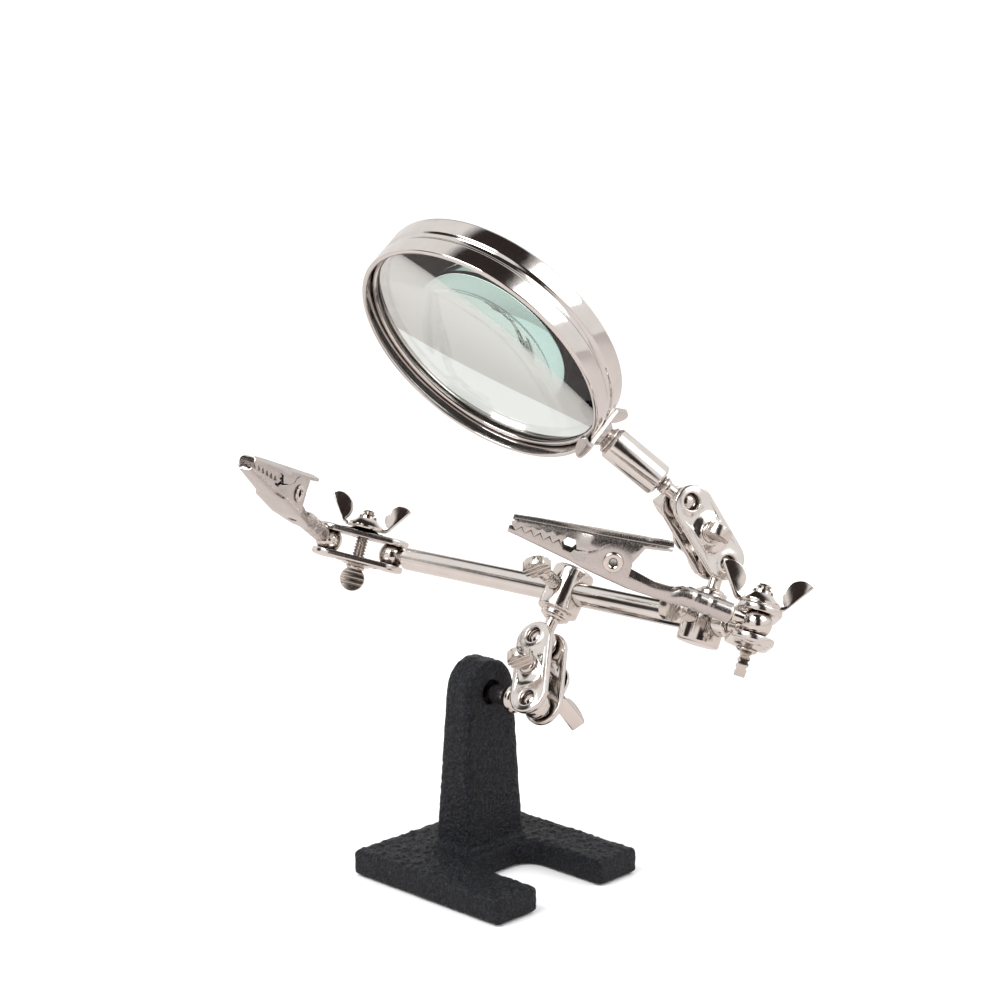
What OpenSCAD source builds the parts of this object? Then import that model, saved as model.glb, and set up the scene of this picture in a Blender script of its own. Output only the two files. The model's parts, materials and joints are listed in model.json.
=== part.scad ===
// Helping hands clamp: a weighted cast stand that carries a cross rod with two
// spring clips and a hand lens, all on double-ball joints locked by wing nuts.
// Origin: centre of the underside of the cast base. +Z is up, the legs point to -Y.

/* [Cast base] */
// Width of the foot across both legs
base_w = 43; // [40:0.5:48]
// Length of the foot from its back edge to the leg ends
base_l = 43; // [40:0.5:48]
// Thickness of the foot
base_h = 5.6; // [5:0.1:8]
// Width of one leg
leg_w = 12; // [10:0.5:14]
// Distance of the slot's closed end in front of the base centre
slot_front = 0.5; // [0:0.1:3]
// Radius of the slot's inner corners
slot_fillet = 4; // [2:0.5:6]
// Sideways offset of the post from the base centre
post_x = 2.2; // [0:0.1:3]
// Width of the post where it meets the foot
post_w = 17.5; // [16:0.5:20]
// Thickness of the post where it meets the foot
post_t = 10.3; // [9:0.1:12]
// Width of the post at its arched top
post_top_w = 14.4; // [12:0.1:16]
// Thickness of the post at its arched top
post_top_t = 7.4; // [7:0.1:9]
// Height of the post above the bench
post_h = 46; // [44:0.5:60]
// Height of the ball stud's bore above the bench
stud_h = 39; // [36:0.5:40]

/* [Double-ball joints] */
// Diameter of every ball
ball_d = 6; // [5.8:0.1:6.2]
// Distance between the two balls of a joint
ball_pitch = 14.8; // [14:0.1:16]
// Length of a clamp plate
plate_l = 21.2; // [20.5:0.1:22]
// Width of a clamp plate
plate_w = 8.7; // [8:0.1:9.5]
// Sheet thickness of a clamp plate
plate_t = 1.4; // [1.2:0.1:1.6]
// Gap between the two plates
plate_gap = 4.4; // [4.2:0.1:4.6]
// Hole over each ball
plate_hole_d = 3.4; // [3:0.1:3.8]
// Diameter of the joint screw's shank
screw_d = 3; // [2.8:0.1:3]

/* [Cross rod and clamps] */
// Diameter of the cross rod
rod_d = 5; // [4.6:0.1:5.2]
// Rod length from the centre clamp to the left ball
rod_left = 53.2; // [48:0.2:60]
// Rod length from the centre clamp to the right ball
rod_right = 48.9; // [46:0.2:60]
// Distance along the rod from the centre clamp to the magnifier clamp
magnifier_pos = 37.3; // [30:0.1:38]
// Diameter of a rod clamp block
block_d = 8.9; // [8.5:0.1:10]
// Distance from a rod clamp's ball to the rod axis
clamp_reach = 12.1; // [11.5:0.1:14]

/* [Spring clips] */
// Distance from a clip's ball to the tips of its jaws
clip_l = 51; // [50:0.5:54]
// Sheet thickness of the jaws
jaw_t = 0.6; // [0.5:0.05:0.7]
// Number of teeth along each jaw
jaw_teeth = 5; // [4:1:6]

/* [Magnifier] */
// Outside radius of the lens band
band_r = 28; // [27:0.1:29]
// Depth of the lens band along the lens axis
band_w = 9.7; // [8.5:0.1:10.5]
// Bulge of each face of the lens
lens_bulge = 3; // [2:0.1:3.2]
// Diameter of the handle sleeve
sleeve_d = 7; // [6.5:0.1:8]
// Length of the handle sleeve
sleeve_l = 12.9; // [12:0.1:16]
// Distance from the sleeve's far end to the lens centre
sleeve_to_lens = 31.4; // [31.4:0.1:33]

/* [Pose] */
// Turn of the lower joint about the post stud
lower_twist = -128; // [-130:1:-126]
// Swing of the lower joint on the post ball
lower_swing = -114; // [-114:1:-108]
// Swing of the centre clamp on its ball
centre_swing = 23; // [20:1:26]
// Turn of the right joint about the rod
right_twist = 102; // [98:1:106]
// Swing of the right joint on the rod ball
right_swing = -50; // [-52:1:-46]
// Swing of the right clip on its ball
right_clip_swing = -87; // [-90:1:-84]
// Tilt of the right clip between its plates
right_clip_tilt = -4; // [-6:1:0]
// Roll of the right clip about its own stud
right_clip_roll = -20; // [-24:1:-16]
// Turn of the left joint about the rod
left_twist = -106; // [-110:1:-102]
// Swing of the left joint on the rod ball
left_swing = 40; // [36:1:44]
// Swing of the left clip on its ball
left_clip_swing = 72; // [68:1:76]
// Tilt of the left clip between its plates
left_clip_tilt = -9; // [-10:1:0]
// Roll of the left clip about its own stud
left_clip_roll = 1; // [-3:1:5]
// Turn of the magnifier clamp about the rod
magnifier_turn = 102; // [100:1:106]
// Turn of the magnifier joint about its clamp stud
magnifier_twist = -28; // [-30:1:-24]
// Swing of the magnifier joint on its clamp ball
magnifier_swing = -51; // [-54:1:-48]
// Swing of the handle on its ball
handle_swing = -17; // [-20:1:-13]
// Tilt of the handle between its plates
handle_tilt = -11; // [-12:1:-6]
// Roll of the lens about its handle
lens_roll = 103; // [100:1:106]

/* [Hidden] */

NICKEL = "#d9d4cf";
ENAMEL = "#23252b";
GLASS = [0.75, 0.9, 0.88, 0.4];
fine = 64;       // facets of turned pieces
slack = 0.05;    // radial clearance of running fits
eps = 0.01;

ball_r = ball_d / 2;
seat_r = ball_r + 0.04;
plate_in = plate_gap / 2;
plate_out = plate_in + plate_t;
hump_h = 0.8;                       // rise of the pressed hump round the screw hole
hump_top = plate_out + hump_h;
head_r = 2.8;                       // radius of a thumb screw's round paddle
head_t = 2.2;                       // thickness of the paddle
head_neck = 0.5;                    // collar between the hump and the paddle
screw_tip = 8.7;                    // end of the joint screw beyond the joint's mid plane
nut_base_r = 4.2;                   // round foot of the wing nut
nut_base_t = 0.9;
wing_angle = 35;                    // lean of each wing away from the screw axis
wing_l = 7.6;                       // length of a wing
wing_w = 3.2;                       // width of a wing's outer strip
wing_t = 0.7;                       // sheet thickness of a wing
ear_d = 6.6;                        // diameter of the half-round ear on each side of a wing
wing_root = 4.9;                    // distance of a wing's root from the screw axis
lower_head_turn = 80;               // turn of a paddle or a wing pair about its screw
lower_nut_turn = -25;
magnifier_head_turn = -27;
right_nut_turn = 90;
groove_w = 0.45;                    // grip grooves across each paddle
groove_pitch = 1.2;
post_ball_y = -9.7;                 // the post ball stands in front of the post
post_y = 6.75;                      // middle of the post's thickness
stud_d = 3;                         // shank of every ball stud
collar_d = 6.2;                     // shoulder on the post stud
clamp_screw_head = 11.5;            // paddle centre from the rod axis
jaw_pivot = [30.2, 1.9];            // clip hinge, from the ball: along the clip, up
ear_r = 3.7;                        // round ear of the lower jaw
rivet_d = 2.5;                      // barrel of the clip's eyelet
lower_hw = 3.75;                    // half width of the lower jaw at the hinge
upper_hw = 3.05;                    // half width of the upper jaw at the hinge
tip_hw = 1.7;                       // half width of both jaws at the tips
barrel_d = 4.1;                     // crimped barrel that holds the clip's stud
handle_reach = 6.4;                 // from the magnifier's ball to the sleeve
handle_stud_d = 3.6;
band_t = 0.6;
lens_edge = 2;                      // thickness of the lens at its rim
lens_r = band_r - band_t - 0.1;
lens_sphere_r = (lens_r * lens_r + lens_bulge * lens_bulge) / (2 * lens_bulge);

// ---- frames: each one carries the next piece of the chain ----

module at_post_ball() translate([post_x, post_ball_y, stud_h]) rotate([0, 0, -90]) children();

module at_lower_joint() at_post_ball()
    rotate([lower_twist, 0, 0]) rotate([0, 0, lower_swing]) children();

module at_centre_ball() at_lower_joint()
    translate([ball_pitch, 0, 0]) rotate([0, 0, centre_swing]) children();

module at_centre_block() at_centre_ball() translate([clamp_reach, 0, 0]) children();

module at_rod() at_centre_block() rotate([0, 0, 90]) children();

module at_right_rod_ball() at_rod() translate([rod_right, 0, 0]) children();

module at_left_rod_ball() at_rod()
    translate([-rod_left, 0, 0]) rotate([0, 0, 180]) children();

module at_right_joint() at_right_rod_ball()
    rotate([right_twist, 0, 0]) rotate([0, 0, right_swing]) children();

module at_left_joint() at_left_rod_ball()
    rotate([left_twist, 0, 0]) rotate([0, 0, left_swing]) children();

module at_right_clip() at_right_joint()
    translate([ball_pitch, 0, 0]) rotate([0, 0, right_clip_swing])
    rotate([0, right_clip_tilt, 0]) rotate([right_clip_roll, 0, 0]) children();

module at_left_clip() at_left_joint()
    translate([ball_pitch, 0, 0]) rotate([0, 0, left_clip_swing])
    rotate([0, left_clip_tilt, 0]) rotate([left_clip_roll, 0, 0]) children();

module at_magnifier_clamp() at_rod()
    translate([magnifier_pos, 0, 0]) rotate([magnifier_turn, 0, 0])
    rotate([0, -90, 0]) children();

module at_magnifier_clamp_ball() at_magnifier_clamp()
    translate([clamp_reach, 0, 0]) children();

module at_magnifier_joint() at_magnifier_clamp_ball()
    rotate([magnifier_twist, 0, 0]) rotate([0, 0, magnifier_swing]) children();

module at_handle_ball() at_magnifier_joint()
    translate([ball_pitch, 0, 0]) rotate([0, 0, handle_swing])
        rotate([0, handle_tilt, 0]) children();

module at_handle() at_handle_ball() rotate([lens_roll, 0, 0]) children();

module at_lens() at_handle()
    translate([handle_reach + sleeve_l + sleeve_to_lens, 0, 0]) children();

// ---- small helpers ----

// A cylinder along +X, from x0 to x1.
module bar(d, x0, x1) translate([x0, 0, 0]) rotate([0, 90, 0])
    cylinder(d = d, h = x1 - x0, $fn = fine);

// A cone frustum along +X, from x0 to x1.
module taper_bar(d0, d1, x0, x1) translate([x0, 0, 0]) rotate([0, 90, 0])
    cylinder(d1 = d0, d2 = d1, h = x1 - x0, $fn = fine);

// A ball whose poles lie along X, so that a neck leaves it at a pole.
module ball() rotate([0, 90, 0]) sphere(r = ball_r, $fn = fine);

// A stadium of width w between two centres at x0 and x1, from height 0 to h.
module slot_bar(w, x0, x1, h) {
    translate([x0, -w / 2, 0]) cube([x1 - x0, w, h]);
    for (x = [x0, x1]) translate([x, 0, 0]) cylinder(d = w, h = h, $fn = fine);
}

// ---- cast base ----

// A block with rounded upright edges and a soft top edge.
module soft_block(x0, x1, y0, y1, h, r) hull() {
    for (x = [x0 + r, x1 - r], y = [y0 + r, y1 - r]) {
        translate([x, y, 0]) cylinder(r = r, h = h / 2, $fn = 32);
        translate([x, y, h - r]) sphere(r = r, $fn = 24);
    }
}

// Fillet where the slot's closed end meets a leg.
module slot_corner(edge) {
    x = base_w / 2 - leg_w;
    translate([x - slot_fillet, -slot_front - slot_fillet, 0]) difference() {
        cube([slot_fillet + edge, slot_fillet + edge, base_h - edge / 2]);
        translate([0, 0, -1]) cylinder(r = slot_fillet, h = base_h + 2, $fn = fine);
    }
}

module post() {
    arch_z = post_h - post_top_w / 2;
    edge = 1.5;
    hull() {
        for (side = [-1, 1], end = [-1, 1])
            translate([post_x + side * (post_w / 2 - edge),
                post_y + end * (post_t / 2 - edge), base_h / 2])
                cylinder(r = edge, h = base_h / 2, $fn = 32);
        translate([post_x, post_y + (post_top_t - 1.6) / 2, arch_z]) rotate([90, 0, 0])
            cylinder(d = post_top_w, h = post_top_t - 1.6, $fn = 48);
        translate([post_x, post_y + post_top_t / 2, arch_z]) rotate([90, 0, 0])
            cylinder(d = post_top_w - 1.8, h = post_top_t, $fn = 48);
    }
}

module cast_base() {
    edge = 1.2;
    bore_back = post_ball_y + 18.8;
    color(ENAMEL) difference() {
        union() {
            soft_block(-base_w / 2, base_w / 2, -slot_front, base_l / 2, base_h, edge);
            for (side = [0, 1]) mirror([side, 0, 0]) {
                soft_block(base_w / 2 - leg_w, base_w / 2, -base_l / 2, base_l / 2,
                    base_h, edge);
                slot_corner(edge);
            }
            post();
        }
        translate([post_x, bore_back, stud_h]) rotate([90, 0, 0])
            cylinder(d = stud_d + 2 * slack, h = 14, $fn = fine);
        translate([post_x, 3.4, stud_h]) rotate([90, 0, 0])
            cylinder(d1 = 3.4, d2 = 6.4, h = 1.6, $fn = fine);
    }
}

module post_ball_stud() color(NICKEL) rotate([0, 0, 180]) {
    ball();
    bar(stud_d, 2, 18.5);
    taper_bar(4.2, collar_d, 5.2, 5.8);
    bar(collar_d, 5.8, 6.8);
    taper_bar(collar_d, 4, 6.8, 7.6);
}

// ---- double-ball joint pieces: ball 1 at the origin, ball 2 at +X, nut side at +Z ----

// One clamp plate. side is 1 on the wing nut side and -1 on the thumb screw side.
module joint_plate(side) {
    round_x = (plate_l - plate_w) / 2;
    edge = 0.4;
    mid = ball_pitch / 2;
    color(NICKEL) mirror([0, 0, side < 0 ? 1 : 0]) difference() {
        union() {
            translate([mid, 0, plate_in]) slot_bar(plate_w, -round_x, round_x, plate_t - edge);
            translate([mid, 0, plate_out - edge]) {
                for (x = [-round_x, round_x]) translate([x, 0, 0])
                    cylinder(d1 = plate_w, d2 = plate_w - 2 * edge, h = edge, $fn = fine);
                rotate([90, 0, 90]) translate([0, 0, -round_x])
                    linear_extrude(2 * round_x)
                    polygon([[-plate_w / 2, 0], [plate_w / 2, 0],
                        [plate_w / 2 - edge, edge], [edge - plate_w / 2, edge]]);
            }
            translate([mid, 0, plate_out - eps])
                cylinder(d1 = 7.2, d2 = 4.6, h = hump_h + eps, $fn = fine);
        }
        for (x = [0, ball_pitch]) translate([x, 0, 0]) {
            sphere(r = seat_r, $fn = fine);
            cylinder(d = plate_hole_d, h = plate_out + 1, $fn = fine);
        }
        translate([mid, 0, 0]) cylinder(d = screw_d + 0.16, h = hump_top + 1, $fn = fine);
        translate([mid, 0, plate_in - eps])
            cylinder(d1 = 5.2, d2 = screw_d + 0.16, h = 0.9, $fn = fine);
    }
}

// The round paddle of a thumb screw, its middle at the origin and its shank along +Z.
module paddle() difference() {
    intersection() {
        rotate([90, 0, 0]) cylinder(r = head_r, h = head_t, center = true, $fn = fine);
        translate([0, 0, -head_r + 2.4]) cube([2 * head_r, head_t, 2 * head_r], center = true);
    }
    for (side = [-1, 1], i = [-1:1])
        translate([0, side * head_t / 2, -0.4 + i * groove_pitch])
            cube([3 * head_r, groove_w, groove_w], center = true);
}

// The joint's thumb screw. turn sets the paddle about the screw axis.
module joint_screw(turn) {
    head_top = hump_top + head_neck;
    color(NICKEL) translate([ball_pitch / 2, 0, 0]) {
        translate([0, 0, -head_top]) cylinder(d = screw_d, h = head_top + screw_tip - 0.4,
            $fn = fine);
        translate([0, 0, screw_tip - 0.4])
            cylinder(d1 = screw_d, d2 = screw_d - 0.8, h = 0.4, $fn = fine);
        translate([0, 0, -head_top]) cylinder(d = 4.2, h = head_neck - 0.02, $fn = fine);
        translate([0, 0, -head_top - 2.4 + 2 * eps]) rotate([0, 0, turn]) paddle();
    }
}

// One bent-up wing: an outer strip with a half-round ear along each side.
module wing() translate([wing_root, 0, 0]) rotate([0, wing_angle, 0]) {
    translate([-wing_t, -wing_w / 2, 0]) cube([wing_t, wing_w, wing_l]);
    for (side = [-1, 1]) intersection() {
        translate([-wing_t / 2, side * (wing_w - wing_t) / 2, wing_l - ear_d / 2])
            rotate([90, 0, 0]) cylinder(d = ear_d, h = wing_t, center = true, $fn = fine);
        translate([-wing_l, -wing_w, 0]) cube([wing_l, 2 * wing_w, wing_l]);
    }
}

// The pressed wing nut. turn sets its wings about the screw axis.
module wing_nut(turn) {
    foot = hump_top + 0.02;
    color(NICKEL) translate([ball_pitch / 2, 0, foot]) rotate([0, 0, turn]) difference() {
        union() {
            cylinder(r = nut_base_r, h = nut_base_t, $fn = fine);
            translate([-wing_root, -wing_w / 2, 0]) cube([2 * wing_root, wing_w, nut_base_t]);
            translate([0, 0, nut_base_t - eps]) cylinder(r1 = 3.9, r2 = 2.3, h = 1.5, $fn = fine);
            cylinder(r = 2, h = 2.9, $fn = fine);
            for (side = [0, 1]) mirror([side, 0, 0]) wing();
        }
        translate([0, 0, -1]) cylinder(d = screw_d + 2 * slack, h = 10, $fn = fine);
    }
}

// ---- rod clamps ----

// Clamp block: rod bore along Y through the origin, stud end toward -X, screw toward -Z.
module clamp_block() {
    r = block_d / 2;
    soft = 0.7;
    color(NICKEL) difference() {
        union() {
            bar(block_d, -4.9, 5 - soft);
            taper_bar(block_d, block_d - 2 * soft, 5 - soft, 5);
            bar(6.4, -6.1, -4.8);
            taper_bar(4.6, 5.4, -6.7, -6.0);
        }
        rotate([90, 0, 0]) cylinder(d = rod_d + 0.16, h = block_d + 2, center = true, $fn = fine);
        bar(stud_d + 2 * slack, -8, -2.8);
        translate([0, 0, -r - 1]) cylinder(d = screw_d + 2 * slack, h = r, $fn = fine);
    }
}

// Ball stud that ends in a clamp block: ball at the origin, shank along +X.
module clamp_stud() color(NICKEL) {
    ball();
    bar(2.8, 2, 5);
    bar(stud_d, 4.8, 9.2);
}

// Paddle screw of a clamp block, pressing on the rod from -Z. turn sets the paddle.
module clamp_screw(turn) color(NICKEL) {
    translate([0, 0, -clamp_screw_head + 2]) cylinder(d = screw_d,
        h = clamp_screw_head - 2 - rod_d / 2 - 0.03, $fn = fine);
    translate([0, 0, -clamp_screw_head]) rotate([0, 0, turn]) paddle();
}

module cross_rod() color(NICKEL) difference() {
    union() {
        bar(rod_d, -rod_left + 5.2, rod_right - 5.2);
        taper_bar(rod_d - 1, rod_d, -rod_left + 4.7, -rod_left + 5.2);
        taper_bar(rod_d, rod_d - 1, rod_right - 5.2, rod_right - 4.7);
    }
    bar(stud_d + 2 * slack, -rod_left, -rod_left + 11.5);
    bar(stud_d + 2 * slack, rod_right - 11.5, rod_right);
}

// Ball end of the rod: ball at the origin, spigot along +X into the rod.
module rod_ball() color(NICKEL) {
    ball();
    bar(3.4, 2, 4.6);
    bar(stud_d, 4.5, 11.3);
}

// ---- spring clips: ball at the origin, jaws toward +X, upper jaw at +Z ----

tooth_x0 = clip_l - 1.2;
tooth_x1 = clip_l - 10.6;
tooth_pitch = (tooth_x0 - tooth_x1) / jaw_teeth;
tooth_h = 1.1;

// Height of the bite line at distance x along the clip.
function bite(x) = 0.95 + (tooth_x0 - x) * 0.06;

// The zigzag bite line, raised by lift: from the tips back to the wire hole.
function teeth(lift) = [for (i = [0:2 * jaw_teeth])
    let (x = tooth_x0 - i * tooth_pitch / 2)
    [x, bite(x) + lift + (i % 2 == 0 ? -tooth_h / 2 : tooth_h / 2)]];

// A round arc in the side view about the hinge.
function arc(r, a0, a1, n) = [for (i = [0:n])
    let (a = a0 + (a1 - a0) * i / n)
    [jaw_pivot[0] + r * cos(a), jaw_pivot[1] + r * sin(a)]];

// Extrude a side view (x, z) across the clip, 2 * half wide.
module side_plate(points, half) translate([0, half, 0]) rotate([90, 0, 0])
    linear_extrude(2 * half) polygon(points);

// Extrude a half plan (x, half width) up through the clip, mirrored about its middle.
module plan_block(points) translate([0, 0, -12]) linear_extrude(30)
    polygon(concat(points, [for (i = [len(points) - 1:-1:0]) [points[i][0], -points[i][1]]]));

function inset(points, t) = [for (p = points) [p[0], p[1] - t]];

module jaw_holes() {
    translate([jaw_pivot[0], 6, jaw_pivot[1]]) rotate([90, 0, 0])
        cylinder(d = rivet_d + 2 * slack, h = 12, $fn = fine);
    translate([39.2 - 51 + clip_l, 6, 1.75]) rotate([90, 0, 0])
        cylinder(d = 3.2, h = 12, $fn = 6);
}

module lower_jaw() {
    floor_tip = [clip_l + 0.3, -0.5];
    floor_mid = [26, -2.15];
    floor_tail = [15.5, -barrel_d / 2];
    outline = concat([[clip_l + 0.3, bite(clip_l) - 0.6]], teeth(0),
        [[37.4, 1.2], [35.2, 2.2]], arc(ear_r, 25, 168, 14),
        [[26.4, 0.3], [21, -0.2], [15.5, 0.4], floor_tail, floor_mid, floor_tip]);
    plan = [[clip_l + 0.3, tip_hw], [38, 2.6], [35.4, lower_hw], [26, lower_hw],
        [15.5, barrel_d / 2]];
    color(NICKEL) difference() {
        union() {
            difference() {
                intersection() {
                    side_plate(outline, 6);
                    plan_block(plan);
                }
                intersection() {
                    plan_block(concat([[clip_l + 1, tip_hw - jaw_t]],
                        inset([for (i = [1:3]) plan[i]], jaw_t),
                        [[14, barrel_d / 2 - jaw_t]]));
                    side_plate([[clip_l + 1, floor_tip[1] + jaw_t], [clip_l + 1, 9], [14, 9],
                        [14, floor_tail[1] + jaw_t], [26, floor_mid[1] + jaw_t]], 6);
                }
            }
            bar(barrel_d, 5.4, 16);
            side_plate([[15.5, floor_tail[1]], [18.5, floor_tail[1] + 0.05], [16, 0.9],
                [15.5, 1.4]], 1.5);
        }
        bar(stud_d + 2 * slack, 5, 14.2);
        jaw_holes();
        translate([21.5, 0, -4]) cylinder(d = 2, h = 4, $fn = fine);
    }
}

module upper_jaw() {
    top_tip = [clip_l, 2.4];
    top_back = [26.6, 7.2];
    lever = [20, 8.5];
    outline = concat([[clip_l, bite(clip_l) + 0.55]], teeth(0.12),
        [[37.4, 1.6], [35.8, 2.0], [33.4, 0.3], [28.4, 0.6], [26.6, 3.4],
        [25.4, 6.5], [20.0, 7.9], lever, top_back, top_tip]);
    plan = [[clip_l, tip_hw], [38, 2.5], [35.2, upper_hw], [25, upper_hw], [20, 2.6]];
    inner = concat([[clip_l + 1, tip_hw - jaw_t]], inset([for (i = [1:3]) plan[i]], jaw_t),
        [[19, 2.6 - jaw_t]]);
    color(NICKEL) difference() {
        intersection() {
            side_plate(outline, 6);
            plan_block(plan);
        }
        intersection() {
            plan_block(inner);
            side_plate([[clip_l + 1, top_tip[1] - jaw_t], [clip_l + 1, -9], [19, -9],
                [19, lever[1] - jaw_t], [top_back[0], top_back[1] - jaw_t]], 6);
        }
        jaw_holes();
    }
}

module clip_rivet() {
    flange = lower_hw + 0.02;
    color(NICKEL) translate([jaw_pivot[0], 0, jaw_pivot[1]]) rotate([90, 0, 0]) difference() {
        union() {
            cylinder(d = rivet_d, h = 2 * flange + 0.4, center = true, $fn = fine);
            for (side = [0, 1]) mirror([0, 0, side]) translate([0, 0, flange])
                cylinder(d1 = 4, d2 = 3.2, h = 0.5, $fn = fine);
        }
        cylinder(d = 1.5, h = 12, center = true, $fn = fine);
    }
}

// Torsion spring: coils round the rivet and a leg on each jaw.
module clip_spring() {
    wire = 0.6;
    coil_r = rivet_d / 2 + 0.1 + wire / 2;
    turns = 5;
    color(NICKEL) translate([jaw_pivot[0], 0, jaw_pivot[1]]) {
        for (i = [0:turns - 1]) translate([0, (i - (turns - 1) / 2) * wire * 0.99, 0])
            rotate([90, 0, 0]) rotate_extrude($fn = 32) translate([coil_r, 0])
                circle(d = wire, $fn = 16);
        translate([0, 1.18, -coil_r]) rotate([0, -98, 0]) cylinder(d = wire, h = 8, $fn = 16);
        translate([0, -1.18, coil_r]) rotate([0, -60, 0]) cylinder(d = wire, h = 5.9, $fn = 16);
    }
}

module clip_stud() color(NICKEL) {
    ball();
    bar(2.5, 2, 5.2);
    bar(stud_d, 5.1, 14);
}

// ---- magnifier ----

// Threaded ball stud of the handle: ball at the origin, shank along +X.
module handle_stud() color(NICKEL) {
    ball();
    bar(2.8, 2, 5);
    taper_bar(2.4, handle_stud_d, 4.6, 5.2);
    bar(handle_stud_d, 5.2, handle_reach + 9);
}

module handle_sleeve() color(NICKEL) translate([handle_reach, 0, 0]) difference() {
    union() {
        bar(sleeve_d, 0.5, sleeve_l - 0.4);
        taper_bar(sleeve_d - 1, sleeve_d, 0, 0.5);
        taper_bar(sleeve_d, sleeve_d - 0.8, sleeve_l - 0.4, sleeve_l);
    }
    bar(handle_stud_d + 2 * slack, -1, 9.4);
    bar(2.6, sleeve_l - 3.6, sleeve_l + 1);
}

// Rivet through the cradle into the sleeve's end, with its head inside the cradle.
cradle_out = sleeve_to_lens - 0.9;   // outer face of the cradle's flat, from the lens axis
cradle_t = 0.9;
module handle_rivet() color(NICKEL) {
    bar(2.5, -sleeve_to_lens - 3.4, -cradle_out + cradle_t + 0.5);
    bar(5.4, -sleeve_to_lens + 0.02, -cradle_out - 0.02);
    taper_bar(4.6, 3.4, -cradle_out + cradle_t + 0.02, -cradle_out + cradle_t + 0.7);
}

// Sheet bracket that cups the band: a flat on the handle, a curved saddle and bent fingers.
module cradle() {
    saddle_r = band_r + 0.05;
    reach = 8.2;                    // half length of the saddle round the band
    finger = band_w / 2 + 0.1;
    color(NICKEL) difference() {
        union() {
            intersection() {
                difference() {
                    cylinder(r = saddle_r + cradle_t, h = 2 * finger + 2 * cradle_t,
                        center = true, $fn = 128);
                    cylinder(r = saddle_r, h = 2 * finger, center = true, $fn = 128);
                    cylinder(r = saddle_r - 2.4, h = 40, center = true, $fn = 128);
                }
                union() {
                    translate([-saddle_r - 4, -reach, -3.2]) cube([8, 2 * reach, 6.4]);
                    for (side = [-1, 1]) translate([-saddle_r - 4, side * reach - 1.7, -8])
                        cube([8, 3.4, 16]);
                }
            }
            translate([-cradle_out, 0, 0]) rotate([0, 90, 0])
                cylinder(d = 6.6, h = cradle_out - saddle_r, $fn = fine);
        }
        bar(2.6, -40, -saddle_r + 3);
        taper_bar(5.2, 4.2, -cradle_out + cradle_t, -saddle_r + 0.3);
    }
}

module band() {
    half = band_w / 2;
    r = band_r;
    bead = 0.45;                    // inward crease round the middle of the band
    outer = [[r - 0.5, half], [r, half - 0.5], [r, 0.9], [r - bead, 0.3], [r - bead, -0.3],
        [r, -0.9], [r, 0.4 - half], [r - 0.3, -half]];
    inner = [[r - 1.3, -half], [r - 1.3, 0.35 - half], [r - band_t, 0.6 - half],
        [r - band_t, half - 0.5], [r - 0.9, half]];
    color(NICKEL) rotate_extrude($fn = 180) polygon(concat(outer, inner));
}

// A wire ring on each side of the lens.
module retainer() color(NICKEL) for (side = [-1, 1])
    translate([0, 0, side * (lens_edge / 2 + 0.72)]) rotate_extrude($fn = 180)
        translate([band_r - band_t - 0.62, 0]) circle(r = 0.55, $fn = 20);

module lens() {
    centre = lens_sphere_r - lens_bulge - lens_edge / 2;
    color(GLASS) intersection() {
        cylinder(r = lens_r, h = 20, center = true, $fn = 180);
        intersection_for (side = [-1, 1])
            translate([0, 0, side * centre]) sphere(r = lens_sphere_r, $fn = 240);
    }
}

cast_base();
at_post_ball() post_ball_stud();
at_lower_joint() joint_plate(-1);  // lower_plate_front
at_lower_joint() joint_plate(1);  // lower_plate_back
at_lower_joint() joint_screw(lower_head_turn);  // lower_thumb_screw
at_lower_joint() wing_nut(lower_nut_turn);  // lower_wing_nut
at_centre_ball() clamp_stud();  // centre_ball_stud
at_centre_block() clamp_block();  // centre_clamp_block
at_centre_block() clamp_screw(60);  // centre_clamp_screw
at_rod() cross_rod();
at_left_rod_ball() rotate([0, 0, 180]) rod_ball();  // left_rod_ball
at_right_rod_ball() rotate([0, 0, 180]) rod_ball();  // right_rod_ball
at_left_joint() joint_plate(1);  // left_plate_top
at_left_joint() joint_plate(-1);  // left_plate_bottom
at_left_joint() joint_screw(0);  // left_thumb_screw
at_left_joint() wing_nut(0);  // left_wing_nut
at_left_clip() clip_stud();  // left_clip_stud
at_left_clip() lower_jaw();  // left_clip_lower_jaw
at_left_clip() upper_jaw();  // left_clip_upper_jaw
at_left_clip() clip_rivet();  // left_clip_rivet
at_left_clip() clip_spring();  // left_clip_spring
at_right_joint() joint_plate(1);  // right_plate_top
at_right_joint() joint_plate(-1);  // right_plate_bottom
at_right_joint() joint_screw(0);  // right_thumb_screw
at_right_joint() wing_nut(right_nut_turn);  // right_wing_nut
at_right_clip() clip_stud();  // right_clip_stud
at_right_clip() lower_jaw();  // right_clip_lower_jaw
at_right_clip() upper_jaw();  // right_clip_upper_jaw
at_right_clip() clip_rivet();  // right_clip_rivet
at_right_clip() clip_spring();  // right_clip_spring
at_magnifier_clamp()  // magnifier_clamp_block
    rotate([-90, 0, 0]) rotate([0, 0, 180]) clamp_block();
at_magnifier_clamp()  // magnifier_clamp_screw
    rotate([-90, 0, 0]) rotate([0, 0, 180]) clamp_screw(0);
at_magnifier_clamp_ball()  // magnifier_clamp_stud
    rotate([0, 0, 180]) clamp_stud();
at_magnifier_joint() joint_plate(-1);  // magnifier_plate_front
at_magnifier_joint() joint_plate(1);  // magnifier_plate_back
at_magnifier_joint()  // magnifier_thumb_screw
    joint_screw(magnifier_head_turn);
at_magnifier_joint() wing_nut(0);  // magnifier_wing_nut
at_handle_ball() handle_stud();  // magnifier_ball_stud
at_handle() handle_sleeve();  // magnifier_sleeve
at_lens() handle_rivet();  // magnifier_rivet
at_lens() cradle();  // magnifier_cradle
at_lens() band();  // magnifier_band
at_lens() retainer();  // magnifier_retainer
at_lens() lens();  // magnifier_lens
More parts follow.
